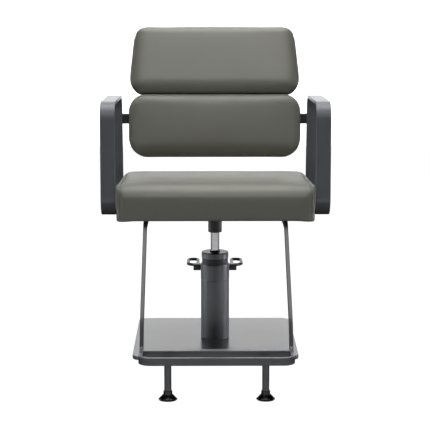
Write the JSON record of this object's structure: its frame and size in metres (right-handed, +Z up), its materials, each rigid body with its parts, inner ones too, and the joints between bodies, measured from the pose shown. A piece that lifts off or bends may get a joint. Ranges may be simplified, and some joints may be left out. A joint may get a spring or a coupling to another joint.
{
  "type": "salon styling chair",
  "caption": "Height-adjustable swivel styling chair with padded seat and split back, flat-bar loop arms, hydraulic pump on a square base plate and an attached footrest on posts.",
  "frame": {"origin": "on the floor, on the swivel axis, at the underside of the centre pad of the base plate", "axes": "+Z up along the swivel axis; the sitter faces -Y, so the footrest is at -Y; +X is at the sitter's left hand"},
  "size_m": [0.624, 0.8468, 0.8985],
  "materials": {
    "anthracite_paint": "satin anthracite powder coat",
    "black_steel": "semi-gloss black paint",
    "chrome": "polished",
    "bright_steel": "ground",
    "zinc_fastener": "dark zinc",
    "bronze": "turned",
    "black_rubber": "matte",
    "black_plastic": "semi-gloss moulded",
    "grey_vinyl": "fine-grained vinyl, satin",
    "foam": "open-cell foam",
    "plywood": "raw plywood",
    "dust_cloth": "non-woven cloth"
  },
  "bodies": {
    "base": {"base_plate": "anthracite_paint", "base_pads": "black_rubber", "base_screws": "zinc_fastener", "pump_foot_flange": "bright_steel", "pump_tube": "anthracite_paint", "inner_cylinder": "bright_steel", "pump_head": "anthracite_paint", "pedal_bushes": "bronze", "pump_neck": "black_steel", "pump_cap": "anthracite_paint", "pump_cap_disc": "black_steel", "rod_wiper": "black_rubber"},
    "pedal": {"pedal_shaft": "bright_steel", "pedal_hub_left": "black_steel", "pedal_hub_right": "black_steel", "pedal_loop_left": "black_steel", "pedal_loop_right": "black_steel", "pedal_set_screws": "zinc_fastener", "pedal_spring": "bright_steel"},
    "swivel": {"swivel_bush": "bronze"},
    "seat": {"arm_bolts": "zinc_fastener", "arm_left": "anthracite_paint", "arm_right": "anthracite_paint", "arm_spacers": "black_steel", "back_board_lower": "plywood", "back_board_upper": "plywood", "back_cover_lower": "grey_vinyl", "back_cover_upper": "grey_vinyl", "back_crossbar": "black_steel", "back_foam_lower": "foam", "back_foam_upper": "foam", "back_panel_lower": "grey_vinyl", "back_panel_upper": "grey_vinyl", "back_spine_left": "black_steel", "back_spine_right": "black_steel", "crossbar_bolts": "zinc_fastener", "footrest_bolts": "zinc_fastener", "footrest_crossbar": "anthracite_paint", "footrest_glides": "black_plastic", "footrest_hoop": "anthracite_paint", "footrest_posts": "anthracite_paint", "footrest_side_left": "anthracite_paint", "footrest_side_right": "anthracite_paint", "piston_rod": "chrome", "seat_board": "plywood", "seat_bottom_cloth": "dust_cloth", "seat_cover": "grey_vinyl", "seat_foam": "foam", "seat_plate": "black_steel", "seat_plate_bolts": "zinc_fastener", "seat_socket": "black_steel", "seat_strap_front": "black_steel", "seat_strap_rear": "black_steel", "socket_set_screws": "zinc_fastener", "spine_pads": "black_steel", "spine_screws": "zinc_fastener"}
  },
  "joints": [
    {"name": "pedal_pump", "type": "hinge", "parent": "base", "child": "pedal", "pos_m": [0, 0.025, 0.214], "axis": [-1, 0, 0], "range_deg": [0, 26], "stiffness_Nm_per_rad": 4, "springref_deg": -20.05},
    {"name": "seat_swivel", "type": "hinge", "parent": "base", "child": "swivel", "pos_m": [0, 0, 0.25], "axis": [0, 0, 1], "continuous": true},
    {"name": "seat_lift", "type": "slide", "parent": "swivel", "child": "seat", "axis": [0, 0, 1], "range_m": [0, 0.15]}
  ]
}
